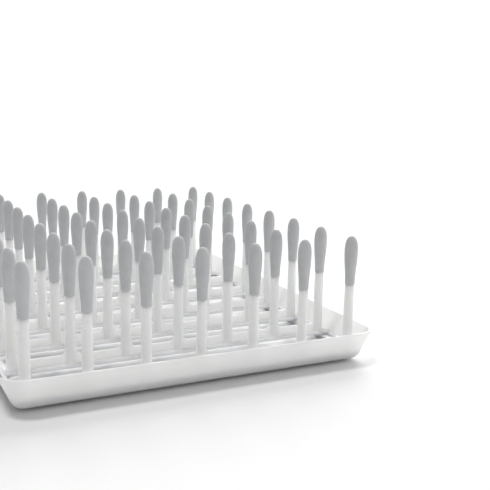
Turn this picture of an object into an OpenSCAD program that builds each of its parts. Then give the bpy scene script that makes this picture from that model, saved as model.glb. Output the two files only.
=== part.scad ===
// Bottle drying rack: a shallow drip tray and a lift-out rack of soft-tipped pegs.
// Every row of pegs is one comb-shaped strip that sits on the ledge of a frame,
// with long drain slots between the strips. The frame stands on the tray's floor.
// The origin is the middle of the footprint, on the surface that the tray stands on.
// +X is to the right along a row of pegs, and -Y is the front.

/* [Peg grid] */
// Pegs in one row, from side to side
peg_columns = 7; // [3:1:10]
// Rows of pegs, from front to back
peg_rows = 8; // [3:1:10]
// Distance between pegs along a row
column_pitch = 38; // [30:0.5:50]
// Distance between rows
row_pitch = 40.6; // [32:0.1:52]
// Height of the pegs above the face of their strip
peg_height = 80; // [60:1:110]

/* [Stem] */
// Diameter at the foot, where the stem meets the strip
stem_foot_d = 7.4; // [6:0.1:9]
// Diameter at the shoulder that the soft tip stands on
stem_top_d = 6.4; // [5.2:0.1:8]
// Radius of the blend round the foot
foot_blend_r = 1; // [0.5:0.1:1.2]
// Diameter of the core that runs up inside the soft tip
core_d = 4.2; // [3:0.1:5.1]
// Height of the ring on the core that locks the soft tip
lock_ring_h = 2.4; // [1.5:0.1:3]
// How far the lock ring stands out of the core
lock_ring_out = 0.35; // [0.2:0.05:0.5]

/* [Soft tip] */
// Length of the soft tip
tip_length = 34.4; // [28:0.2:42]
// Diameter at its widest place
tip_wide_d = 9.4; // [7.8:0.1:11.4]
// Distance from the top down to the widest place
tip_wide_drop = 10.8; // [9:0.1:13]
// How far the tip's lower edge stands out over the stem's shoulder
tip_lip = 0.25; // [0.1:0.05:0.5]
// Soft material left above the core
tip_roof = 6; // [4:0.5:9]
// Gap between the core and the soft tip
core_gap = 0.06; // [0.04:0.01:0.15]

/* [Peg strip] */
// Width of the flat strip under a row
strip_w = 10; // [8.2:0.1:14]
// Thickness of the flat strip
strip_t = 2.4; // [2:0.1:3.2]
// Thickness of the upright rib between the stems
rib_t = 2; // [1.6:0.1:2.6]
// Height of the rib above the strip
rib_h = 6; // [4:0.1:9]
// Radius of the rib's upward sweep into each stem
rib_sweep_r = 3.6; // [2:0.1:5]
// Radius in the corners of the drain slots
slot_corner_r = 4.5; // [3:0.1:5.5]
// Diameter of the pins that fasten a strip to the frame
pin_d = 1.8; // [1.4:0.1:2.2]
// Length of the pins
pin_h = 2.2; // [1.5:0.1:2.8]

/* [Rack frame] */
// Width of the frame's top face
frame_rim_w = 2.9; // [2:0.1:3.5]
// How far the frame's ledge reaches in under the strips
ledge_w = 4; // [3:0.1:5]
// Least width of the frame's lower edge, which stands on the tray's floor
frame_foot_w = 0.8; // [0.6:0.1:1.2]
// Gap between a strip and the frame's upright face
strip_gap = 0.2; // [0.1:0.05:0.4]
// Gap between a pin and its hole, all round and below
pin_gap = 0.08; // [0.05:0.01:0.15]
// Gap between the frame and the tray's wall
tray_gap = 0.6; // [0.4:0.1:1.2]

/* [Drip tray] */
// Thickness of the tray
tray_t = 2; // [1.8:0.1:2.4]
// Height of the tray from its underside to its rim
tray_h = 22.1; // [18:0.1:30]
// Lean of the wall away from upright, in degrees
wall_lean = 24.5; // [15:0.5:30]
// Radius of the rounded edge under the wall
tray_edge_r = 7.6; // [6:0.1:10]
// Radius of the rim's corners, seen from above
rim_corner_r = 16; // [13:0.1:24]
// Depth of the drip space under the strips, and height of the frame's ledge
drip_depth = 4.3; // [3.5:0.1:6]

/* [Tray feet] */
// Diameter of a foot pad
pad_d = 14; // [8:0.5:20]
// How far a pad stands out under the tray
pad_out = 1.5; // [1:0.1:3]
// Depth of the seat that a pad is glued into
pad_seat = 0.8; // [0.4:0.1:1]
// Gap between a pad and the side of its seat
pad_gap = 0.15; // [0.1:0.05:0.3]
// Distance from the tray's corner axes in to the pads
pad_inset = 12; // [10:0.5:30]

/* [Hidden] */
$fn = 48;
// Small overlap where two solids of one piece join
join = 0.3;
// Length that carries a cut clear through a piece
through = 1;
// Thickness of a strip's flared end, which would be a feather edge without it
flare_end = 0.3;
// Least radius of the tray's floor in its corners, seen from above
floor_corner_r = 0.5;
// Least flat edge left beside a stem's blended foot
foot_margin = 0.1;

// Heights, from the resting surface up
tray_floor_z = pad_out + tray_t;
strip_z = tray_floor_z + drip_depth;
strip_top_z = strip_z + strip_t;
rim_z = pad_out + tray_h;

// Half sizes of the peg grid, to the outer pegs' axes
grid_x = (peg_columns - 1) * column_pitch / 2;
grid_y = (peg_rows - 1) * row_pitch / 2;

// The frame's upright face lies one gap outside the strips.
strip_half_w = strip_w / 2;
seat_out = strip_half_w + strip_gap;
frame_top_out = seat_out + frame_rim_w;

// The tray's wall is a straight leaning stretch above the rounded edge. Its
// inner face passes one gap outside the frame's top edge.
wall_slope = tan(wall_lean);
wall_inner_out = frame_top_out + tray_gap / cos(wall_lean);
wall_outer_out = wall_inner_out + tray_t / cos(wall_lean);
rim_out = wall_outer_out + (rim_z - strip_top_z) * wall_slope;

// The rounding under the wall is limited by what the wall leaves of the corner's
// radius. Its centre is at edge_out, edge_z.
edge_r = min(tray_edge_r,
    (rim_corner_r - tray_h * wall_slope - floor_corner_r) / (1 / cos(wall_lean) - wall_slope));
edge_z = pad_out + edge_r;
edge_out = wall_outer_out - (strip_top_z - edge_z) * wall_slope - edge_r / cos(wall_lean);

// The ledge's inner face. It leaves the frame a lower edge to stand on, inside
// the tray's rounding.
ledge_in = min(seat_out - ledge_w, edge_out - frame_foot_w);

// One vertical axis serves each corner of the tray, the rim and the frame.
corner_out = rim_out - rim_corner_r;
corner_x = grid_x + corner_out;
corner_y = grid_y + corner_out;

// Stem
foot_blend = min(foot_blend_r, strip_half_w - stem_foot_d / 2 - foot_margin);

// Soft tip
tip_z = peg_height - tip_length;
tip_mouth_d = stem_top_d + 2 * tip_lip;
tip_wide_z = tip_length - tip_wide_drop;
core_top = tip_length - tip_roof;
lock_z = core_top / 2;
// Powers of the rounded top: above 2 it is fuller than an ellipse
dome_power = 2.4;
dome_steps = 14;
taper_steps = 10;
blend_steps = 6;

// Where the fastening pins stand, out from the last peg's axis
pin_out = seat_out - ledge_w / 2;

function column_x(column) = column * column_pitch - grid_x;
function row_y(row) = (row - 1) * row_pitch - grid_y;

// Sweeps an outline round the rounded rectangle of the tray. The outline's x is
// the distance out from the corner axes, and its y is the height.
module sweep_round() {
    for (side = [0, 180])
        rotate(side) {
            translate([corner_x, corner_y]) rotate_extrude(angle = 90) children();
            translate([corner_x, -corner_y]) rotate(-90) rotate_extrude(angle = 90) children();
            translate([corner_x, 0]) rotate([90, 0, 0])
                linear_extrude(2 * corner_y, center = true) children();
            translate([0, corner_y]) rotate([90, 0, 90])
                linear_extrude(2 * corner_x, center = true) children();
        }
}

// ---------- Drip tray ----------

// The zone of the rounding under the wall: from straight below its centre out to
// where the straight wall takes over
module edge_zone() {
    far = 2 * edge_r;
    polygon([
        [0, 0],
        [0, -far],
        [far, -far],
        [far * cos(wall_lean), -far * sin(wall_lean)]
    ]);
}

// The rounding under the wall, and the floor in to the corner axes
module tray_edge_outline() {
    edge = [edge_out - corner_out, edge_z];
    translate(edge) intersection() {
        difference() {
            circle(edge_r);
            circle(edge_r - tray_t);
        }
        edge_zone();
    }
    translate([0, pad_out]) square([edge[0], tray_t]);
}

// The straight wall, ending in a full-round lip
module tray_wall_outline() {
    edge = [edge_out - corner_out, edge_z];
    normal = [cos(wall_lean), -sin(wall_lean)];
    along = [sin(wall_lean), cos(wall_lean)];
    outer = edge + edge_r * normal;
    inner = edge + (edge_r - tray_t) * normal;
    lip_r = tray_t / 2;
    run = (rim_z - lip_r - (outer[1] + inner[1]) / 2) / cos(wall_lean);
    // The lower end runs a little way into the rounded edge, clear of both faces.
    inset = (outer - inner) / 4;
    polygon([
        outer,
        outer + run * along,
        inner + run * along,
        inner,
        inner + inset - join * along,
        outer - inset - join * along
    ]);
    translate((outer + inner) / 2 + run * along) circle(lip_r);
}

module at_pads() {
    for (x = [-1, 1], y = [-1, 1])
        translate([x * (corner_x - pad_inset), y * (corner_y - pad_inset), 0]) children();
}

module drip_tray() {
    color("white") difference() {
        union() {
            sweep_round() tray_edge_outline();
            sweep_round() tray_wall_outline();
            translate([-corner_x, -corner_y, pad_out]) cube([2 * corner_x, 2 * corner_y, tray_t]);
        }
        at_pads() cylinder(d = pad_d + 2 * pad_gap, h = pad_out + pad_seat);
    }
}

// A foot pad, with its lower edge rounded
module foot_pad(x, y) {
    round_r = pad_out / 2;
    color("gray")
        translate([x * (corner_x - pad_inset), y * (corner_y - pad_inset), 0]) {
            translate([0, 0, round_r]) cylinder(d = pad_d, h = pad_out + pad_seat - round_r);
            rotate_extrude() {
                square([pad_d / 2 - round_r, round_r]);
                intersection() {
                    translate([pad_d / 2 - round_r, round_r]) circle(round_r);
                    square([pad_d / 2, round_r]);
                }
            }
        }
}

// ---------- Rack frame ----------

// What a rounded corner takes off the square one at x, y
module round_off(x, y, r) {
    if (r > 0) difference() {
        translate([x - r, y - r]) square(r + through);
        translate([x - r, y - r]) circle(r);
    }
}

// The rectangle that reaches a distance out beyond the outer pegs' axes. Its
// corners are rounded about the tray's corner axes.
module grid_plan(out) {
    difference() {
        square([2 * (grid_x + out), 2 * (grid_y + out)], center = true);
        for (x = [-1, 1], y = [-1, 1])
            scale([x, y]) round_off(grid_x + out, grid_y + out, out - corner_out);
    }
}

// The frame's outside. It stands on the tray's floor, and keeps one gap from the
// tray's wall and from the rounding under it.
module frame_outline() {
    top = frame_top_out - corner_out;
    clear_r = edge_r - tray_t - tray_gap;
    difference() {
        polygon([
            [0, tray_floor_z],
            [top - (strip_top_z - tray_floor_z) * wall_slope, tray_floor_z],
            [top, strip_top_z],
            [0, strip_top_z]
        ]);
        translate([edge_out - corner_out, edge_z]) difference() {
            edge_zone();
            if (clear_r > 0) circle(clear_r);
        }
    }
}

// The frame: its rim stands round the strips, and its ledge reaches in under them
module rack_frame() {
    color("white") difference() {
        union() {
            sweep_round() frame_outline();
            translate([-corner_x, -corner_y, tray_floor_z])
                cube([2 * corner_x, 2 * corner_y, strip_top_z - tray_floor_z]);
        }
        translate([0, 0, strip_z]) linear_extrude(strip_t + through) grid_plan(seat_out);
        translate([0, 0, tray_floor_z - through])
            linear_extrude(drip_depth + 2 * through) grid_plan(ledge_in);
        for (row = [1:peg_rows], x = [-1, 1])
            translate([x * (grid_x + pin_out), row_y(row), strip_z - pin_h - pin_gap])
                cylinder(d = pin_d + 2 * pin_gap, h = pin_h + pin_gap + through);
    }
}

// ---------- Peg strips ----------

// The stem's outline: a blended foot, a slight taper, a flat shoulder, and the
// core with its lock ring. Height is measured from the strip's face.
module stem_outline() {
    foot_r = stem_foot_d / 2;
    top_r = stem_top_d / 2;
    core_r = core_d / 2;
    ring_r = core_r + lock_ring_out;
    polygon(concat(
        [[0, -join], [foot_r + foot_blend, -join]],
        [for (step = [0:blend_steps])
            let (a = 90 * step / blend_steps)
            [foot_r + foot_blend * (1 - sin(a)), foot_blend * (1 - cos(a))]],
        [
            [top_r, tip_z],
            [core_r, tip_z],
            [core_r, tip_z + lock_z - lock_ring_h / 2],
            [ring_r, tip_z + lock_z],
            [core_r, tip_z + lock_z + lock_ring_h / 2],
            [core_r, tip_z + core_top],
            [0, tip_z + core_top]
        ]
    ));
}

// Radius of the tapered stem at a height above the strip
function stem_r(z) = (stem_foot_d + (stem_top_d - stem_foot_d) * z / tip_z) / 2;

// The upright rib between two stems, with its top swept up into both
module rib_bay() {
    rise = rib_h + rib_sweep_r;
    start = stem_r(rise) - join / 2;
    low_start = start + rib_sweep_r;
    translate([0, rib_t / 2, 0]) rotate([90, 0, 0]) linear_extrude(rib_t) difference() {
        translate([0, -join]) square([column_pitch, rise + join]);
        translate([start, rise]) square([column_pitch - 2 * start, through]);
        translate([low_start, rib_h]) square([column_pitch - 2 * low_start, rise]);
        for (x = [low_start, column_pitch - low_start]) translate([x, rise]) circle(rib_sweep_r);
    }
}

// One end of a strip's outline, flaring out towards the frame so that the
// drain slot beside it has a rounded corner
module slot_corner() {
    reach = slot_corner_r - sqrt(pow(slot_corner_r, 2) - pow(slot_corner_r - flare_end, 2));
    translate([grid_x + strip_half_w, strip_half_w]) difference() {
        translate([-slot_corner_r, -join]) square([slot_corner_r, reach + join]);
        translate([-slot_corner_r, slot_corner_r]) circle(slot_corner_r);
    }
}

// The strip seen from above, with a slot on one side or on both
module slotted_plan(front_slot, rear_slot) {
    half_l = grid_x + strip_half_w;
    translate([-half_l, -strip_half_w]) square([2 * half_l, strip_w]);
    for (x = [-1, 1]) {
        if (front_slot) scale([x, -1]) slot_corner();
        if (rear_slot) scale([x, 1]) slot_corner();
    }
}

// The first and last rows also follow the corners of the frame.
module strip_plan(row) {
    front = row == 1;
    rear = row == peg_rows;
    if (front || rear) intersection() {
        slotted_plan(!front, !rear);
        translate([0, -row_y(row)]) grid_plan(strip_half_w);
    }
    else slotted_plan(true, true);
}

// A comb of stems on a strip: the rack's main piece, one for each row
module peg_strip(row) {
    color("white") translate([0, row_y(row), 0]) {
        translate([0, 0, strip_z]) linear_extrude(strip_t) strip_plan(row);
        translate([0, 0, strip_top_z]) {
            for (column = [0:peg_columns - 1])
                translate([column_x(column), 0, 0]) rotate_extrude() stem_outline();
            for (column = [0:peg_columns - 2])
                translate([column_x(column), 0, 0]) rib_bay();
        }
        for (x = [-1, 1])
            translate([x * (grid_x + pin_out), 0, strip_z - pin_h])
                cylinder(d = pin_d, h = pin_h + join);
    }
}

// ---------- Soft tips ----------

// Radius of the tip's outside at a height above its lower edge: an S-shaped
// swell up to the widest place, then a full, rounded top
function tip_r(z) =
    z < tip_wide_z
    ? tip_mouth_d / 2 + (tip_wide_d - tip_mouth_d) / 4 * (1 - cos(180 * z / tip_wide_z))
    : tip_wide_d / 2 * pow(1 - pow((z - tip_wide_z) / tip_wide_drop, dome_power), 1 / dome_power);

module tip_outline() {
    bore_r = core_d / 2 + core_gap;
    ring_r = bore_r + lock_ring_out;
    half_ring = lock_ring_h / 2 + core_gap;
    polygon(concat(
        [[bore_r, 0]],
        [for (step = [0:taper_steps])
            let (z = tip_wide_z * step / taper_steps)
            [tip_r(z), z]],
        [for (step = [1:dome_steps - 1])
            let (z = tip_wide_z + tip_wide_drop * sin(90 * step / dome_steps))
            [tip_r(z), z]],
        [
            [0, tip_length],
            [0, core_top + core_gap],
            [bore_r, core_top + core_gap],
            [bore_r, lock_z + half_ring],
            [ring_r, lock_z],
            [bore_r, lock_z - half_ring]
        ]
    ));
}

// The soft tips of one row, moulded over the cores
module soft_tips(row) {
    color("gray") for (column = [0:peg_columns - 1])
        translate([column_x(column), row_y(row), strip_top_z + tip_z])
            rotate_extrude() tip_outline();
}

drip_tray();
rack_frame();
for (row = [1:peg_rows]) {
    peg_strip(row);
    soft_tips(row);
}
foot_pad(-1, -1);  // foot_pad_front_left
foot_pad(1, -1);  // foot_pad_front_right
foot_pad(-1, 1);  // foot_pad_rear_left
foot_pad(1, 1);  // foot_pad_rear_right
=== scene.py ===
"""Bottle drying rack: the finished meshes, materials, studio and camera.

The rack is a shallow drip tray with a loose rack of soft-tipped pegs standing in it.
Every length is in metres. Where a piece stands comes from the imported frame, and the
sizes of its sections are the dataclass fields of the class that builds it.
"""

from __future__ import annotations

import logging
import math
from dataclasses import dataclass, field
from enum import Enum
from typing import Iterable, Sequence

import bmesh
import bpy
from mathutils import Matrix, Vector


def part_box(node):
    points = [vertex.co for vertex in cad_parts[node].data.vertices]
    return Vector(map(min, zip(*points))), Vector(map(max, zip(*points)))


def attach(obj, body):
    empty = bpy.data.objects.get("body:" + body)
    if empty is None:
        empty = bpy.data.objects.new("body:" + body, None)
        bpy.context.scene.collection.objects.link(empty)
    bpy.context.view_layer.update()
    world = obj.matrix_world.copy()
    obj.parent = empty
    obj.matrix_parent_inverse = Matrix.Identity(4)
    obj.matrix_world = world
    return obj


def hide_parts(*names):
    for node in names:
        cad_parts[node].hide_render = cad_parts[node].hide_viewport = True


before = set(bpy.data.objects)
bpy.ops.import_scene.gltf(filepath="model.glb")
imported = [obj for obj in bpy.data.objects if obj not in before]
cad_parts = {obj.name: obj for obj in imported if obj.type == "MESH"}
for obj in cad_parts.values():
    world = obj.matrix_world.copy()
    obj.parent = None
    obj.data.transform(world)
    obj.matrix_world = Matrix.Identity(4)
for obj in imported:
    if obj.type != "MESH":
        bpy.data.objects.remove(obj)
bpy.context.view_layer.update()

MM = 0.001
LOG = logging.getLogger("drying_rack")

Point = tuple[float, float]


# ---------------------------------------------------------------------------
# Outlines and the meshes made from them
# ---------------------------------------------------------------------------


class Shading(Enum):
    """How sharply two faces may meet before their edge is shown as a crease."""

    CREASED = math.radians(32)


@dataclass(frozen=True)
class Corner:
    """One corner of an outline, rounded to a radius."""

    x: float
    y: float
    radius: float = 0.0


def rounded(corners: Sequence[Corner], closed: bool = True, steps: int = 5) -> list[Point]:
    """Rounds the corners of an outline.

    Args:
        corners: The sharp corners in order, each with its radius.
        closed: Whether the last corner joins the first.
        steps: Points along each rounded corner, less one.

    Returns:
        The outline's points.
    """
    points: list[Point] = []
    count = len(corners)
    for i, corner in enumerate(corners):
        at_end = not closed and i in (0, count - 1)
        if corner.radius <= 0 or at_end:
            points.append((corner.x, corner.y))
            continue
        here = Vector((corner.x, corner.y))
        before = corners[i - 1]
        after = corners[(i + 1) % count]
        back = (Vector((before.x, before.y)) - here).normalized()
        ahead = (Vector((after.x, after.y)) - here).normalized()
        half = back.angle(ahead) / 2
        setback = corner.radius / math.tan(half)
        centre = here + (back + ahead).normalized() * (corner.radius / math.sin(half))
        start = here + back * setback - centre
        end = here + ahead * setback - centre
        turn = start.angle_signed(end)
        for step in range(steps + 1):
            spun = Matrix.Rotation(-turn * step / steps, 2) @ start
            points.append((centre.x + spun.x, centre.y + spun.y))
    return points


def arc(centre: Point, radius: float, first: float, last: float, steps: int) -> list[Point]:
    """Points along an arc.

    Args:
        centre: The arc's centre.
        radius: Its radius.
        first: Angle of the first point, in radians.
        last: Angle of the last point, in radians.
        steps: Number of steps between them.

    Returns:
        The arc's points, both ends included.
    """
    angles = [first + (last - first) * step / steps for step in range(steps + 1)]
    return [(centre[0] + radius * math.cos(a), centre[1] + radius * math.sin(a)) for a in angles]


class MeshMaker:
    """Collects faces into one mesh and turns it into an object."""

    def __init__(self) -> None:
        """Starts with an empty mesh."""
        self.bm = bmesh.new()

    def skin(self, rings: Sequence[Sequence[Vector]], loop: bool = False, around: bool = True) -> None:
        """Joins neighbouring rings of equal length with quads.

        Args:
            rings: The rings, each a row of positions.
            loop: Whether the last ring joins the first.
            around: Whether each ring is itself closed.
        """
        rows = [[self.bm.verts.new(p) for p in ring] for ring in rings]
        last_row = len(rows) if loop else len(rows) - 1
        width = len(rows[0])
        last_column = width if around else width - 1
        for i in range(last_row):
            below, above = rows[i], rows[(i + 1) % len(rows)]
            for j in range(last_column):
                k = (j + 1) % width
                self.bm.faces.new((below[j], below[k], above[k], above[j]))

    def cap(self, ring: Sequence[Vector]) -> None:
        """Closes a ring with one flat face; its points are welded to the skin later."""
        self.bm.faces.new([self.bm.verts.new(p) for p in ring])

    def finish(self, name: str, shading: Shading = Shading.CREASED) -> bpy.types.Object:
        """Welds the mesh, faces it outwards and links it as an object.

        Args:
            name: The object's name.
            shading: Where its edges count as creases.

        Returns:
            The new object.
        """
        bmesh.ops.remove_doubles(self.bm, verts=self.bm.verts, dist=1e-6)
        bmesh.ops.dissolve_degenerate(self.bm, edges=self.bm.edges, dist=1e-6)
        bmesh.ops.recalc_face_normals(self.bm, faces=self.bm.faces)
        mesh = bpy.data.meshes.new(name)
        self.bm.to_mesh(mesh)
        self.bm.free()
        smooth(mesh, shading)
        obj = bpy.data.objects.new(name, mesh)
        bpy.context.scene.collection.objects.link(obj)
        return obj


def smooth(mesh: bpy.types.Mesh, shading: Shading) -> None:
    """Shades a mesh smoothly, except across its creases."""
    mesh.shade_smooth()
    mesh.set_sharp_from_angle(angle=shading.value)


def lathe(profile: Sequence[Point], steps: int, centre: Vector, closed: bool = True) -> MeshMaker:
    """Turns a profile of (radius, height) points round an upright axis.

    Args:
        profile: The profile, ending on the axis or closed on itself.
        steps: Segments round the axis.
        centre: Where the axis and height nought are.
        closed: Whether the profile's last point joins its first.

    Returns:
        The maker that holds the turned mesh.
    """
    maker = MeshMaker()
    rings = []
    for radius, height in profile:
        ring = []
        for step in range(steps):
            a = math.tau * step / steps
            ring.append(centre + Vector((radius * math.cos(a), radius * math.sin(a), height)))
        rings.append(ring)
    maker.skin(rings, loop=closed)
    return maker


@dataclass(frozen=True)
class RoundedPlan:
    """The rounded rectangle that the tray and the frame follow."""

    corner_x: float
    corner_y: float
    corner_steps: int = 18
    side_steps: int = 12

    def ring(self, out: float, z: float) -> list[Vector]:
        """Points round the plan at a distance out from its corner axes.

        Args:
            out: Distance out from the corner axes.
            z: The ring's height.

        Returns:
            The points, anticlockwise from the right-hand rear corner.
        """
        points: list[Vector] = []
        quarter = math.pi / 2
        centres = [
            (self.corner_x, self.corner_y),
            (-self.corner_x, self.corner_y),
            (-self.corner_x, -self.corner_y),
            (self.corner_x, -self.corner_y),
        ]
        for i, (cx, cy) in enumerate(centres):
            for step in range(self.corner_steps + 1):
                a = quarter * (i + step / self.corner_steps)
                points.append(Vector((cx + out * math.cos(a), cy + out * math.sin(a), z)))
            start = points[-1]
            nx, ny = centres[(i + 1) % 4]
            a = quarter * (i + 1)
            end = Vector((nx + out * math.cos(a), ny + out * math.sin(a), z))
            for step in range(1, self.side_steps):
                points.append(start.lerp(end, step / self.side_steps))
        return points


def join_solids(base: bpy.types.Object, others: Iterable[bpy.types.Object], cut: bool = False) -> None:
    """Unites solids with a base one, or cuts them out of it, and removes them.

    Args:
        base: The solid that is kept.
        others: The solids that are joined to it or cut from it.
        cut: Whether to cut.
    """
    group = bpy.data.collections.new("tools")
    bpy.context.scene.collection.children.link(group)
    tools = list(others)
    for tool in tools:
        bpy.context.scene.collection.objects.unlink(tool)
        group.objects.link(tool)
    modifier = base.modifiers.new("join", "BOOLEAN")
    modifier.operation = "DIFFERENCE" if cut else "UNION"
    modifier.operand_type = "COLLECTION"
    modifier.collection = group
    modifier.solver = "EXACT"
    apply_modifiers(base)
    for tool in tools:
        mesh = tool.data
        bpy.data.objects.remove(tool)
        bpy.data.meshes.remove(mesh)
    bpy.data.collections.remove(group)


def apply_modifiers(obj: bpy.types.Object) -> None:
    """Replaces an object's mesh by what its modifiers make of it.

    Args:
        obj: The object, whose modifiers are removed.
    """
    graph = bpy.context.evaluated_depsgraph_get()
    graph.update()
    done = bpy.data.meshes.new_from_object(obj.evaluated_get(graph))
    old = obj.data
    obj.modifiers.clear()
    obj.data = done
    bpy.data.meshes.remove(old)
    obj.data.name = obj.name


# ---------------------------------------------------------------------------
# Finishes
# ---------------------------------------------------------------------------


class NodeSheet:
    """A material's node tree, with short calls for the nodes used here."""

    def __init__(self, name: str) -> None:
        """Starts a material with one Principled shader.

        Args:
            name: The material's name.
        """
        self.material = bpy.data.materials.new(name)
        self.material.use_nodes = True
        self.tree = self.material.node_tree
        self.shader = next(n for n in self.tree.nodes if n.type == "BSDF_PRINCIPLED")
        self.where = self.tree.nodes.new("ShaderNodeTexCoord").outputs["Object"]

    def noise(
        self, scale: float, detail: float = 3.0, stretch: Vector | None = None
    ) -> bpy.types.NodeSocket:
        """A noise over the piece.

        Args:
            scale: Features per metre.
            detail: Octaves of noise.
            stretch: How much each axis is scaled before the noise.

        Returns:
            The noise's value.
        """
        node = self.tree.nodes.new("ShaderNodeTexNoise")
        node.inputs["Scale"].default_value = scale
        node.inputs["Detail"].default_value = detail
        source = self.where
        if stretch is not None:
            mapping = self.tree.nodes.new("ShaderNodeMapping")
            mapping.inputs["Scale"].default_value = stretch
            self.tree.links.new(source, mapping.inputs["Vector"])
            source = mapping.outputs["Vector"]
        self.tree.links.new(source, node.inputs["Vector"])
        return node.outputs["Fac"]

    def between(self, value: bpy.types.NodeSocket, low: float, high: float) -> bpy.types.NodeSocket:
        """Maps the middle of a noise's range to low and high.

        Args:
            value: The noise's value.
            low: What the lower end of the range becomes.
            high: What the upper end becomes.

        Returns:
            The mapped value.
        """
        node = self.tree.nodes.new("ShaderNodeMapRange")
        node.inputs["From Min"].default_value = 0.3
        node.inputs["From Max"].default_value = 0.7
        node.inputs["To Min"].default_value = low
        node.inputs["To Max"].default_value = high
        self.tree.links.new(value, node.inputs["Value"])
        return node.outputs["Result"]

    def tint(self, value: bpy.types.NodeSocket, one: Sequence[float], other: Sequence[float]) -> None:
        """Shades the base colour between two colours by a value from 0 to 1.

        Args:
            value: The value.
            one: Red, green and blue at 0.
            other: Red, green and blue at 1.
        """
        node = self.tree.nodes.new("ShaderNodeMix")
        node.data_type = "RGBA"
        node.inputs["A"].default_value = (*one, 1.0)
        node.inputs["B"].default_value = (*other, 1.0)
        self.tree.links.new(value, node.inputs["Factor"])
        self.tree.links.new(node.outputs["Result"], self.shader.inputs["Base Color"])

    def roughness(self, value: bpy.types.NodeSocket) -> None:
        """Drives the roughness."""
        self.tree.links.new(value, self.shader.inputs["Roughness"])

    def bumps(self, layers: Sequence[tuple[bpy.types.NodeSocket, float, float]]) -> None:
        """Adds bumps, one on top of the other.

        Args:
            layers: For each, its height value, its depth in metres and its strength.
        """
        normal = None
        for height, depth, strength in layers:
            node = self.tree.nodes.new("ShaderNodeBump")
            node.inputs["Distance"].default_value = depth
            node.inputs["Strength"].default_value = strength
            self.tree.links.new(height, node.inputs["Height"])
            if normal is not None:
                self.tree.links.new(normal, node.inputs["Normal"])
            normal = node.outputs["Normal"]
        self.tree.links.new(normal, self.shader.inputs["Normal"])


@dataclass(frozen=True)
class MouldedPlastic:
    """Satin white moulded plastic, with the faint mottling and orange peel of a moulding."""

    name: str
    light: tuple[float, float, float] = (0.885, 0.885, 0.885)
    dark: tuple[float, float, float] = (0.865, 0.868, 0.87)
    gloss_low: float = 0.30
    gloss_high: float = 0.42
    peel: float = 0.25
    depth: float = 5.0 * MM

    def make(self) -> bpy.types.Material:
        """Builds the material.

        Returns:
            The material.
        """
        sheet = NodeSheet(self.name)
        sheet.tint(sheet.between(sheet.noise(14.0, 2.0), 0.0, 1.0), self.light, self.dark)
        sheet.roughness(sheet.between(sheet.noise(60.0, 4.0), self.gloss_low, self.gloss_high))
        peel = sheet.noise(420.0, 2.0)
        grain = sheet.noise(5200.0, 2.0)
        sheet.bumps([(peel, 0.00004, self.peel), (grain, 0.00001, 0.4)])
        sheet.shader.inputs["IOR"].default_value = 1.49
        sheet.shader.inputs["Subsurface Weight"].default_value = 1.0
        sheet.shader.inputs["Subsurface Scale"].default_value = 1.0
        sheet.shader.inputs["Subsurface Radius"].default_value = (self.depth, self.depth, 0.9 * self.depth)
        return sheet.material


@dataclass(frozen=True)
class SoftElastomer:
    """Matte grey elastomer, with a fine moulded grain and a dusty bloom."""

    name: str
    light: tuple[float, float, float] = (0.61, 0.62, 0.63)
    dark: tuple[float, float, float] = (0.57, 0.58, 0.59)

    def make(self) -> bpy.types.Material:
        """Builds the material.

        Returns:
            The material.
        """
        sheet = NodeSheet(self.name)
        sheet.tint(sheet.between(sheet.noise(160.0, 4.0), 0.0, 1.0), self.dark, self.light)
        sheet.roughness(sheet.between(sheet.noise(300.0, 3.0), 0.62, 0.76))
        grain = sheet.noise(3800.0, 3.0)
        sheet.bumps([(sheet.noise(500.0, 2.0), 0.00003, 0.25), (grain, 0.00002, 0.5)])
        sheet.shader.inputs["Specular IOR Level"].default_value = 0.35
        sheet.shader.inputs["Sheen Weight"].default_value = 0.15
        sheet.shader.inputs["Sheen Roughness"].default_value = 0.5
        return sheet.material


@dataclass(frozen=True)
class StudioFloor:
    """The pale, slightly uneven board under the rack."""

    name: str = "studio_floor"
    colour: tuple[float, float, float] = (0.95, 0.95, 0.95)

    def make(self) -> bpy.types.Material:
        """Builds the material.

        Returns:
            The material.
        """
        sheet = NodeSheet(self.name)
        darker = tuple(0.992 * c for c in self.colour)
        sheet.tint(sheet.between(sheet.noise(3.0, 2.0), 0.0, 1.0), self.colour, darker)
        sheet.roughness(sheet.between(sheet.noise(8.0, 2.0), 0.75, 0.85))
        sheet.shader.inputs["Specular IOR Level"].default_value = 0.2
        return sheet.material


class Finish(Enum):
    """The finishes of the rack, with the record's slot that each one follows."""

    TRAY = ("tray_plastic", MouldedPlastic("tray_plastic_satin"))
    RACK = (
        "rack_plastic",
        MouldedPlastic("rack_plastic_satin", gloss_low=0.34, gloss_high=0.48, depth=6.0 * MM),
    )
    TIP = ("soft_grip", SoftElastomer("soft_grip_matte"))
    PAD = ("pad_rubber", SoftElastomer("pad_matte", light=(0.36, 0.37, 0.38), dark=(0.32, 0.33, 0.34)))


class Dresser:
    """Gives pieces their finish, their body and the CAD nodes they stand for."""

    def __init__(self) -> None:
        """Makes each finish's material once."""
        self.materials = {finish: finish.value[1].make() for finish in Finish}

    def dress(self, piece: bpy.types.Object, finish: Finish, body: str, *nodes: str) -> None:
        """Finishes a piece and ties it to the frame.

        Args:
            piece: The piece.
            finish: Its finish.
            body: The CAD body that it moves with.
            *nodes: The CAD nodes that it stands for.
        """
        piece.data.materials.clear()
        piece.data.materials.append(self.materials[finish])
        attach(piece, body)
        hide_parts(*nodes)
        LOG.info("%s: %d faces, stands for %s", piece.name, len(piece.data.polygons), ", ".join(nodes))


# ---------------------------------------------------------------------------
# Where things stand
# ---------------------------------------------------------------------------


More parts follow.
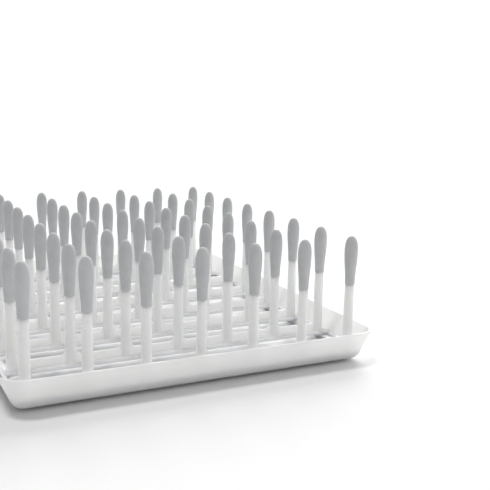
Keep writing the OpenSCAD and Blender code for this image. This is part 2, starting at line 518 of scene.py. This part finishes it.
@dataclass(frozen=True)
class PegGrid:
    """The rows and columns of pegs, read from the frame."""

    rows: tuple[float, ...]
    columns: tuple[float, ...]
    strip_top: float

    @classmethod
    def from_frame(cls, columns: int = 7) -> PegGrid:
        """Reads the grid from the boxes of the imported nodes.

        Args:
            columns: Pegs in one row.

        Returns:
            The grid.
        """
        count = sum(name.startswith("soft_tips_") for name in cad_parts)
        boxes = [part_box(f"soft_tips_{row + 1}") for row in range(count)]
        rows = tuple((low.y + high.y) / 2 for low, high in boxes)
        low, high = boxes[0]
        radius = (high.y - low.y) / 2
        first, last = low.x + radius, high.x - radius
        pitch = (last - first) / (columns - 1)
        return cls(
            rows=rows,
            columns=tuple(first + pitch * i for i in range(columns)),
            strip_top=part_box("rack_frame")[1].z,
        )


# ---------------------------------------------------------------------------
# Drip tray
# ---------------------------------------------------------------------------


@dataclass
class DripTray:
    """The shallow tray: flat floor, rounded lower edge, flared wall and full-round rim."""

    thickness: float = 2.0 * MM
    edge_radius: float = 7.6 * MM
    lean: float = math.radians(24.5)
    rim_corner_radius: float = 16.0 * MM
    frame_gap: float = 0.6 * MM
    pad_seat: float = 0.8 * MM
    pad_diameter: float = 14.0 * MM
    pad_gap: float = 0.15 * MM
    pad_inset: float = 12.0 * MM
    arc_steps: int = 14
    plan: RoundedPlan = field(init=False)
    rim_out: float = field(init=False)

    def __post_init__(self) -> None:
        """Works out the plan's corner axes, as the CAD does."""
        slope = math.tan(self.lean)
        _, frame_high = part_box("rack_frame")
        low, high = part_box("drip_tray")
        self.underside = low.z
        self.rim_z = high.z
        wall_x = frame_high.x + (self.frame_gap + self.thickness) / math.cos(self.lean)
        wall_y = frame_high.y + (self.frame_gap + self.thickness) / math.cos(self.lean)
        rise = (self.rim_z - frame_high.z) * slope
        corner_x = wall_x + rise - self.rim_corner_radius
        corner_y = wall_y + rise - self.rim_corner_radius
        self.rim_out = self.rim_corner_radius
        self.plan = RoundedPlan(corner_x, corner_y)

    def edge_centre(self) -> Vector:
        """Centre of the rounded edge under the wall: out from the corner axes, and height.

        Returns:
            The distance out and the height.
        """
        edge_z = self.underside + self.edge_radius
        line_at_edge = self.rim_out - (self.rim_z - edge_z) * math.tan(self.lean)
        return Vector((line_at_edge - self.edge_radius / math.cos(self.lean), edge_z))

    def profile(self) -> list[Point]:
        """The wall's section, from the inner floor over the rim to the underside.

        Returns:
            Points of (distance out from the corner axes, height).
        """
        outward = Vector((math.cos(self.lean), -math.sin(self.lean)))
        along = Vector((math.sin(self.lean), math.cos(self.lean)))
        edge = self.edge_centre()
        inner_radius = self.edge_radius - self.thickness
        lip = self.thickness / 2
        middle = edge + outward * (self.edge_radius + inner_radius) / 2
        run = (self.rim_z - lip - middle.y) / math.cos(self.lean)
        lip_centre = middle + along * run
        down = -math.pi / 2
        points = [(0.0, self.underside + self.thickness)]
        points += arc(edge, inner_radius, down, -self.lean, self.arc_steps)
        points += arc(lip_centre, lip, math.pi - self.lean, -self.lean, self.arc_steps)
        points += arc(edge, self.edge_radius, -self.lean, down, self.arc_steps)
        points.append((0.0, self.underside))
        return points

    def pad_places(self) -> dict[str, Vector]:
        """The centre of each foot pad's seat, by the pad's node.

        Returns:
            For each pad's node, the place on the resting surface.
        """
        x = self.plan.corner_x - self.pad_inset
        y = self.plan.corner_y - self.pad_inset
        return {
            "foot_pad_front_left": Vector((-x, -y, 0)),
            "foot_pad_front_right": Vector((x, -y, 0)),
            "foot_pad_rear_left": Vector((-x, y, 0)),
            "foot_pad_rear_right": Vector((x, y, 0)),
        }

    def build(self, dresser: Dresser) -> None:
        """Builds the tray and sinks the pads' seats into its underside.

        Args:
            dresser: What finishes the tray.
        """
        maker = MeshMaker()
        rings = [self.plan.ring(out, z) for out, z in self.profile()]
        maker.skin(rings)
        maker.cap(rings[0])
        maker.cap(rings[-1])
        tray = maker.finish("drip_tray_shell")
        radius = self.pad_diameter / 2 + self.pad_gap
        seat = [(0, -1 * MM), (radius, -1 * MM), (radius, self.underside + self.pad_seat)]
        seat += [(0, self.underside + self.pad_seat)]
        cutters = [lathe(seat, 64, place).finish("seat_cutter") for place in self.pad_places().values()]
        join_solids(tray, cutters, cut=True)
        smooth(tray.data, Shading.CREASED)
        dresser.dress(tray, Finish.TRAY, "tray", "drip_tray")


@dataclass
class FootPad:
    """A soft disc under a corner of the tray, with rounded edges and two grip rings."""

    diameter: float = 14.0 * MM
    edge: float = 0.7 * MM
    groove: float = 0.35 * MM

    def build(self, node: str, place: Vector, dresser: Dresser) -> None:
        """Builds one pad.

        Args:
            node: The pad's CAD node.
            place: Its centre on the resting surface.
            dresser: What finishes it.
        """
        _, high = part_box(node)
        radius = self.diameter / 2
        corners = [Corner(0, 0)]
        for share in (0.35, 0.62):
            middle = radius * share
            corners += [
                Corner(middle - 2 * self.groove, 0, 0.2 * MM),
                Corner(middle - self.groove, self.groove, 0.2 * MM),
                Corner(middle + self.groove, self.groove, 0.2 * MM),
                Corner(middle + 2 * self.groove, 0, 0.2 * MM),
            ]
        corners += [
            Corner(radius, 0, self.edge),
            Corner(radius, high.z, 0.15 * MM),
            Corner(0, high.z),
        ]
        pad = lathe(rounded(corners, steps=4), 64, place).finish(node + "_disc")
        dresser.dress(pad, Finish.PAD, "tray", node)


# ---------------------------------------------------------------------------
# Rack
# ---------------------------------------------------------------------------


@dataclass
class RackFrame:
    """The border of the rack: a slim leaning rim, and a ledge that stands on the tray's floor."""

    rim_width: float = 2.9 * MM
    ledge_width: float = 4.0 * MM
    strip_thickness: float = 2.4 * MM
    edge: float = 0.35 * MM
    hole_diameter: float = 1.96 * MM
    hole_depth: float = 2.28 * MM

    def build(self, tray: DripTray, grid: PegGrid, dresser: Dresser) -> None:
        """Builds the frame and bores its fastening holes.

        Args:
            tray: The tray that the frame stands in.
            grid: The peg grid.
            dresser: What finishes the frame.
        """
        low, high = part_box("rack_frame")
        top = high.x - tray.plan.corner_x
        seat = top - self.rim_width
        strip_z = high.z - self.strip_thickness
        centre = tray.edge_centre()
        clear_radius = tray.edge_radius - tray.thickness - tray.frame_gap
        belly = arc(centre, clear_radius, -math.pi / 2, -tray.lean, 10)
        outline = rounded(
            [
                Corner(seat - self.ledge_width, low.z, 0.1 * MM),
                Corner(centre.x, low.z, 0.2 * MM),
                *[Corner(out, z) for out, z in belly],
                Corner(top, high.z, 2 * self.edge),
                Corner(seat, high.z, self.edge),
                Corner(seat, strip_z, 0.15 * MM),
                Corner(seat - self.ledge_width, strip_z, 0.2 * MM),
            ],
            steps=4,
        )
        maker = MeshMaker()
        maker.skin([tray.plan.ring(out, z) for out, z in outline], loop=True)
        border = maker.finish("rack_frame_border")
        radius = self.hole_diameter / 2
        across = high.x - self.rim_width - self.ledge_width / 2
        floor = strip_z - self.hole_depth
        bore = [(0, floor), (radius, floor), (radius, strip_z + MM), (0, strip_z + MM)]
        cutters = [
            lathe(bore, 24, Vector((side * across, y, 0))).finish("bore_cutter")
            for y in grid.rows
            for side in (-1, 1)
        ]
        join_solids(border, cutters, cut=True)
        smooth(border.data, Shading.CREASED)
        dresser.dress(border, Finish.RACK, "rack", "rack_frame")


class RowPlace(Enum):
    """Where a row stands in the rack, which shapes the ends of its strip."""

    FRONT = "front"
    MIDDLE = "middle"
    REAR = "rear"


@dataclass
class PegStrip:
    """A row's comb: the flat strip, the swept rib, the stems and the pins."""

    width: float = 10.0 * MM
    thickness: float = 2.4 * MM
    edge: float = 0.45 * MM
    rib_thickness: float = 2.0 * MM
    rib_height: float = 6.0 * MM
    rib_sweep: float = 3.6 * MM
    rib_foot: float = 0.7 * MM
    rib_overlap: float = 0.15 * MM
    slot_corner: float = 4.5 * MM
    blunt: float = 0.3 * MM
    stem_foot_diameter: float = 7.4 * MM
    stem_top_diameter: float = 6.4 * MM
    shoulder_height: float = 45.6 * MM
    foot_blend: float = 1.0 * MM
    core_diameter: float = 4.2 * MM
    core_height: float = 28.4 * MM
    lock_ring: float = 0.35 * MM
    lock_ring_height: float = 2.4 * MM
    pin_diameter: float = 1.8 * MM
    pin_length: float = 2.2 * MM
    pin_out: float = 3.2 * MM
    sunk: float = 0.3 * MM
    taper_end: float = 0.97
    stem_steps: int = 48
    rise_steps: int = 6
    sweep_steps: int = 10
    end_steps: int = 10
    length_steps: int = 24

    def stem_radius(self, z: float) -> float:
        """The tapered stem's radius at a height above the strip."""
        foot, top = self.stem_foot_diameter / 2, self.stem_top_diameter / 2
        return foot + (top - foot) * z / self.shoulder_height

    def stem_profile(self) -> list[Point]:
        """The stem's section, from its buried foot to the top of its core.

        Returns:
            Points of (radius, height above the strip).
        """
        foot = self.stem_foot_diameter / 2
        blend = self.foot_blend
        core = self.core_diameter / 2
        top = self.stem_top_diameter / 2
        shoulder = self.shoulder_height
        ring_z = shoulder + self.core_height / 2
        ring_half = self.lock_ring_height / 2
        points = [(0.0, -self.sunk), (foot + blend, -self.sunk)]
        points += arc((foot + blend, blend), blend, -math.pi / 2, -math.pi, 8)
        points += [
            (self.stem_radius(z), z)
            for z in (
                blend + (shoulder - blend) * step / self.rise_steps
                for step in range(1, self.rise_steps)
            )
        ]
        points += rounded(
            [
                Corner(self.stem_radius(shoulder * self.taper_end), shoulder * self.taper_end),
                Corner(top, shoulder, 0.2 * MM),
                Corner(core, shoulder),
                Corner(core, ring_z - ring_half),
                Corner(core + self.lock_ring, ring_z),
                Corner(core, ring_z + ring_half),
                Corner(core, shoulder + self.core_height, 0.4 * MM),
                Corner(0, shoulder + self.core_height),
            ],
            closed=False,
            steps=3,
        )
        return points

    def flare(self, x: float, half_length: float) -> float:
        """How far the strip's side stands out beyond its width, near the frame.

        Args:
            x: Distance along the row from its middle.
            half_length: Half the strip's length.

        Returns:
            The distance, or nought clear of the frame.
        """
        along = x - (half_length - self.slot_corner)
        if along <= 0:
            return 0.0
        along = min(along, self.slot_corner - self.blunt)
        return self.slot_corner - math.sqrt(self.slot_corner**2 - along**2)

    def corner_cut(self, x: float, half_length: float, radius: float) -> float:
        """How far the strip's side draws in at a rounded outer corner.

        Args:
            x: Distance along the row from its middle.
            half_length: Half the strip's length.
            radius: The corner's radius.

        Returns:
            The distance, or nought clear of the corner.
        """
        along = x - (half_length - radius)
        if along <= 0:
            return 0.0
        return radius - math.sqrt(max(radius**2 - along**2, 0.0))

    def base(self, grid: PegGrid, place: RowPlace, corner_radius: float) -> bpy.types.Object:
        """Lofts the flat strip along the row, with rounded edges.

        Args:
            grid: The peg grid.
            place: Where the row stands.
            corner_radius: Radius of the outer corners of the first and last rows.

        Returns:
            The flat strip, at the middle of the grid.
        """
        half = grid.columns[-1] + self.width / 2
        flare_start = half - self.slot_corner
        steps = self.end_steps
        reach = self.slot_corner
        ends = [flare_start + reach * math.sin(math.pi / 2 * i / steps) for i in range(steps)]
        ends += [half - self.blunt, half - self.edge * 0.3, half]
        positions = sorted(set(ends))
        span = grid.columns[-1] - grid.columns[0]
        count = self.length_steps
        middle = [grid.columns[0] + span * i / count for i in range(count + 1)]
        stations = [-x for x in reversed(positions)] + middle + positions
        maker = MeshMaker()
        rings = []
        for x in sorted(stations):
            away = abs(x)
            sides = []
            for outer in (place is RowPlace.FRONT, place is RowPlace.REAR):
                side = self.width / 2
                if outer:
                    side -= self.corner_cut(away, half, corner_radius)
                else:
                    side += self.flare(away, half)
                sides.append(max(side, 2 * self.edge))
            shrink = self.edge if half - away < 1e-6 else 0.0
            front, rear = -sides[0], sides[1]
            section = rounded(
                [
                    Corner(front + shrink, -self.thickness, self.edge / 2),
                    Corner(rear - shrink, -self.thickness, self.edge / 2),
                    Corner(rear - shrink, 0, self.edge),
                    Corner(front + shrink, 0, self.edge),
                ],
                steps=4,
            )
            rings.append([Vector((x, y, z)) for y, z in section])
        maker.skin(rings)
        maker.cap(rings[0])
        maker.cap(rings[-1])
        return maker.finish("strip_base")

    def rib_top(self, away: float) -> float:
        """The rib's height at a distance from the nearest stem's axis.

        Args:
            away: The distance.

        Returns:
            The height above the strip.
        """
        rise = self.rib_height + self.rib_sweep
        start = self.stem_radius(rise) - self.rib_overlap
        reach = away - start
        if reach <= 0:
            return rise
        if reach >= self.rib_sweep:
            return self.rib_height
        return rise - math.sqrt(self.rib_sweep**2 - (self.rib_sweep - reach) ** 2)

    def rib(self, grid: PegGrid) -> bpy.types.Object:
        """Lofts the rib through every stem, swept up at each, with a blended foot.

        Args:
            grid: The peg grid.

        Returns:
            The rib, at the middle of the grid.
        """
        rise = self.rib_height + self.rib_sweep
        start = self.stem_radius(rise) - self.rib_overlap
        steps = self.sweep_steps
        turns = [math.pi / 2 * i / steps for i in range(steps + 1)]
        sweep = [start + self.rib_sweep * (1 - math.cos(turn)) for turn in turns]
        offsets = [0.0, start / 2] + sweep
        positions = set()
        for i, x in enumerate(grid.columns):
            for away in offsets:
                if i < len(grid.columns) - 1:
                    positions.add(round(x + away, 7))
                if i > 0:
                    positions.add(round(x - away, 7))
        half = self.rib_thickness / 2
        maker = MeshMaker()
        rings = []
        for x in sorted(positions):
            away = min(abs(x - column) for column in grid.columns)
            top = self.rib_top(away)
            foot = self.rib_foot
            right = arc((half + foot, foot), foot, -math.pi / 2, -math.pi, 4)
            shoulder = Corner(half, top, 0.85 * half)
            crown = rounded([Corner(half, foot), shoulder, Corner(0, top)], closed=False, steps=4)
            side = [(half + foot, -self.sunk)] + right + crown[1:-1]
            section = side + [(-y, z) for y, z in reversed(side)]
            rings.append([Vector((x, y, z)) for y, z in section])
        maker.skin(rings)
        maker.cap(rings[0])
        maker.cap(rings[-1])
        return maker.finish("strip_rib")

    def pin(self, x: float) -> bpy.types.Object:
        """A fastening pin under one end of the strip, with a rounded lower edge.

        Args:
            x: Where the pin stands along the row.

        Returns:
            The pin, at the middle of the grid.
        """
        radius = self.pin_diameter / 2
        low = -self.thickness - self.pin_length
        high = self.sunk - self.thickness
        section = rounded(
            [Corner(0, low), Corner(radius, low, 0.3 * MM), Corner(radius, high), Corner(0, high)],
            steps=3,
        )
        return lathe(section, 32, Vector((x, 0, 0))).finish("strip_pin")

    def build(self, grid: PegGrid, place: RowPlace, corner_radius: float) -> bpy.types.Object:
        """Builds a whole comb at the middle of the grid, its strip's face at height nought.

        Args:
            grid: The peg grid.
            place: Where the row stands.
            corner_radius: Radius of the outer corners of the first and last rows.

        Returns:
            The comb.
        """
        comb = self.base(grid, place, corner_radius)
        profile = self.stem_profile()
        parts = [
            lathe(profile, self.stem_steps, Vector((x, 0, 0))).finish("stem") for x in grid.columns
        ]
        parts.append(self.rib(grid))
        parts += [self.pin(side * (grid.columns[-1] + self.pin_out)) for side in (-1, 1)]
        join_solids(comb, parts)
        smooth(comb.data, Shading.CREASED)
        return comb


@dataclass
class SoftTip:
    """The grey bulrush-shaped tip that is moulded over a stem's core."""

    length: float = 34.4 * MM
    wide_diameter: float = 9.4 * MM
    wide_drop: float = 10.8 * MM
    mouth_diameter: float = 6.9 * MM
    mouth_edge: float = 0.45 * MM
    bore_diameter: float = 4.32 * MM
    bore_depth: float = 28.46 * MM
    dome_power: float = 2.4
    taper_steps: int = 18
    dome_steps: int = 18

    def radius(self, z: float) -> float:
        """The outside radius at a height above the tip's lower edge.

        Args:
            z: The height.

        Returns:
            The radius.
        """
        wide_z = self.length - self.wide_drop
        if z < wide_z:
            swell = (self.wide_diameter - self.mouth_diameter) / 4
            return self.mouth_diameter / 2 + swell * (1 - math.cos(math.pi * z / wide_z))
        share = min((z - wide_z) / self.wide_drop, 1.0)
        return self.wide_diameter / 2 * (1 - share**self.dome_power) ** (1 / self.dome_power)

    def profile(self) -> list[Point]:
        """The tip's section: mouth, S-shaped swell, full dome, and the bore inside.

        Returns:
            Points of (radius, height above the lower edge).
        """
        wide_z = self.length - self.wide_drop
        mouth = self.mouth_diameter / 2
        bore = self.bore_diameter / 2
        edge = self.mouth_edge
        points = [(bore, 0.0), (mouth - edge, 0.0)]
        points += arc((mouth - edge, edge), edge, -math.pi / 2, 0, 5)[1:]
        for step in range(1, self.taper_steps + 1):
            z = edge + (wide_z - edge) * step / self.taper_steps
            points.append((self.radius(z), z))
        for step in range(1, self.dome_steps):
            z = wide_z + self.wide_drop * math.sin(math.pi / 2 * step / self.dome_steps)
            points.append((self.radius(z), z))
        points += [(0.0, self.length), (0.0, self.bore_depth), (bore, self.bore_depth)]
        return points

    def build(self, row: int, grid: PegGrid, dresser: Dresser) -> None:
        """Builds the tips of one row.

        Args:
            row: The row's number, from 0 at the front.
            grid: The peg grid.
            dresser: What finishes the tips.
        """
        node = f"soft_tips_{row + 1}"
        low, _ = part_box(node)
        tips = [
            lathe(self.profile(), 48, Vector((x, grid.rows[row], low.z))).finish("tip")
            for x in grid.columns
        ]
        first = merge(tips, f"soft_tip_row_{row + 1}")
        dresser.dress(first, Finish.TIP, "rack", node)


def merge(pieces: Sequence[bpy.types.Object], name: str) -> bpy.types.Object:
    """Puts separate solids of one kind into one object.

    Args:
        pieces: The solids, which are removed.
        name: The new object's name.

    Returns:
        The object that holds them all.
    """
    bm = bmesh.new()
    for piece in pieces:
        bm.from_mesh(piece.data)
    mesh = bpy.data.meshes.new(name)
    bm.to_mesh(mesh)
    bm.free()
    smooth(mesh, Shading.CREASED)
    for piece in pieces:
        data = piece.data
        bpy.data.objects.remove(piece)
        bpy.data.meshes.remove(data)
    merged = bpy.data.objects.new(name, mesh)
    bpy.context.scene.collection.objects.link(merged)
    return merged


@dataclass
class PegRack:
    """The lift-out rack: its frame, its strips and their soft tips."""

    tray: DripTray
    grid: PegGrid
    frame_part: RackFrame = field(default_factory=RackFrame)
    strip: PegStrip = field(default_factory=PegStrip)
    tip: SoftTip = field(default_factory=SoftTip)

    def build(self, dresser: Dresser) -> None:
        """Builds every piece of the rack.

        Args:
            dresser: What finishes the pieces.
        """
        self.frame_part.build(self.tray, self.grid, dresser)
        corner_out = self.tray.plan.corner_x - self.grid.columns[-1]
        corner_radius = self.strip.width / 2 - corner_out
        combs = {place: self.strip.build(self.grid, place, corner_radius) for place in RowPlace}
        last = len(self.grid.rows) - 1
        for row, y in enumerate(self.grid.rows):
            place = {0: RowPlace.FRONT, last: RowPlace.REAR}.get(row, RowPlace.MIDDLE)
            mesh = combs[place].data.copy()
            mesh.transform(Matrix.Translation((0, y, self.grid.strip_top)))
            comb = bpy.data.objects.new(f"peg_comb_row_{row + 1}", mesh)
            bpy.context.scene.collection.objects.link(comb)
            dresser.dress(comb, Finish.RACK, "rack", f"peg_strip_{row + 1}")
            self.tip.build(row, self.grid, dresser)
        for comb in combs.values():
            data = comb.data
            bpy.data.objects.remove(comb)
            bpy.data.meshes.remove(data)


# ---------------------------------------------------------------------------
# Studio
# ---------------------------------------------------------------------------


@dataclass(frozen=True)
class DistantSoftbox:
    """A softbox far enough away to light the floor evenly."""

    name: str
    toward: Vector
    irradiance: float
    spread: float

    def build(self) -> None:
        """Adds the lamp to the scene."""
        light = bpy.data.lights.new(self.name, "SUN")
        light.energy = self.irradiance
        light.angle = self.spread
        lamp = bpy.data.objects.new(self.name, light)
        lamp.location = self.toward.normalized() * 3
        lamp.rotation_euler = (-self.toward).to_track_quat("-Z", "Y").to_euler()
        bpy.context.scene.collection.objects.link(lamp)


@dataclass(frozen=True)
class Glow:
    """A bright part of the room that fades out away from its middle."""

    toward: Vector
    fades_from: float
    full_at: float
    strength: float


@dataclass(frozen=True)
class StudioCamera:
    """The camera: where it stands, which way it looks, and its lens."""

    place: Vector = Vector((-0.2038, -0.6030, 0.1926))
    turned_right: float = math.radians(26.91)
    tilted_down: float = math.radians(11.27)
    rolled: float = math.radians(1.34)
    lens: float = 59.16
    film: float = 36.0

    def build(self) -> None:
        """Adds the camera and makes it the scene's own."""
        data = bpy.data.cameras.new("studio_camera")
        data.sensor_width = self.film
        data.lens = self.lens
        data.clip_start = 0.01
        forward = Vector(
            (
                math.sin(self.turned_right) * math.cos(self.tilted_down),
                math.cos(self.turned_right) * math.cos(self.tilted_down),
                -math.sin(self.tilted_down),
            )
        )
        right = Vector((math.cos(self.turned_right), -math.sin(self.turned_right), 0))
        up = right.cross(forward)
        level = Matrix((right, up, -forward)).transposed()
        camera = bpy.data.objects.new("studio_camera", data)
        camera.matrix_world = (level @ Matrix.Rotation(self.rolled, 3, "Z")).to_4x4()
        camera.matrix_world.translation = self.place
        bpy.context.scene.collection.objects.link(camera)
        bpy.context.scene.camera = camera


@dataclass
class Studio:
    """The pale floor, the bright surroundings, the softboxes and the camera."""

    floor_size: float = 12.0
    floor_lines: int = 8
    fill: float = 0.2
    glows: tuple[Glow, ...] = (
        Glow(Vector((0.45, 0.87, 0.0)), 0.2, 0.95, 0.82),
        Glow(Vector((0.95, -0.25, 0.2)), 0.0, 1.0, 0.6),
    )
    softboxes: tuple[DistantSoftbox, ...] = (
        DistantSoftbox("overhead_softbox", Vector((-0.4, 0.25, 1.74)), 1.05, math.radians(14)),
        DistantSoftbox("rear_softbox", Vector((0.45, 0.7, 0.5)), 1.7, math.radians(40)),
    )
    camera: StudioCamera = field(default_factory=StudioCamera)

    def floor(self) -> None:
        """Lays the floor."""
        maker = MeshMaker()
        step = self.floor_size / self.floor_lines
        half = self.floor_size / 2
        places = [step * i - half for i in range(self.floor_lines + 1)]
        maker.skin([[Vector((x, y, 0)) for x in places] for y in places], around=False)
        board = maker.finish("studio_floor_board")
        board.data.materials.append(StudioFloor().make())

    def surroundings(self) -> None:
        """Lights the room with an even fill and a few soft glows."""
        world = bpy.data.worlds.new("studio_world")
        bpy.context.scene.world = world
        world.use_nodes = True
        tree = world.node_tree
        background = next(n for n in tree.nodes if n.type == "BACKGROUND")
        where = tree.nodes.new("ShaderNodeTexCoord").outputs["Generated"]
        fill = tree.nodes.new("ShaderNodeValue")
        fill.outputs["Value"].default_value = self.fill
        total = fill.outputs["Value"]
        for glow in self.glows:
            along = tree.nodes.new("ShaderNodeVectorMath")
            along.operation = "DOT_PRODUCT"
            along.inputs[1].default_value = glow.toward.normalized()
            tree.links.new(where, along.inputs[0])
            ramp = tree.nodes.new("ShaderNodeMapRange")
            ramp.interpolation_type = "SMOOTHSTEP"
            ramp.inputs["From Min"].default_value = glow.fades_from
            ramp.inputs["From Max"].default_value = glow.full_at
            ramp.inputs["To Max"].default_value = glow.strength
            tree.links.new(along.outputs["Value"], ramp.inputs["Value"])
            add = tree.nodes.new("ShaderNodeMath")
            tree.links.new(total, add.inputs[0])
            tree.links.new(ramp.outputs["Result"], add.inputs[1])
            total = add.outputs["Value"]
        background.inputs["Color"].default_value = (1, 1, 1, 1)
        tree.links.new(total, background.inputs["Strength"])

    def build(self) -> None:
        """Sets up the whole studio."""
        bpy.context.scene.view_settings.view_transform = "Standard"
        self.floor()
        self.surroundings()
        for softbox in self.softboxes:
            softbox.build()
        self.camera.build()


def main() -> None:
    """Builds the studio and every piece of the rack."""
    logging.basicConfig(level=logging.INFO, format="%(name)s: %(message)s")
    Studio().build()
    grid = PegGrid.from_frame()
    dresser = Dresser()
    tray = DripTray()
    tray.build(dresser)
    for node, place in tray.pad_places().items():
        FootPad().build(node, place, dresser)
    PegRack(tray, grid).build(dresser)


if __name__ == "__main__":
    main()
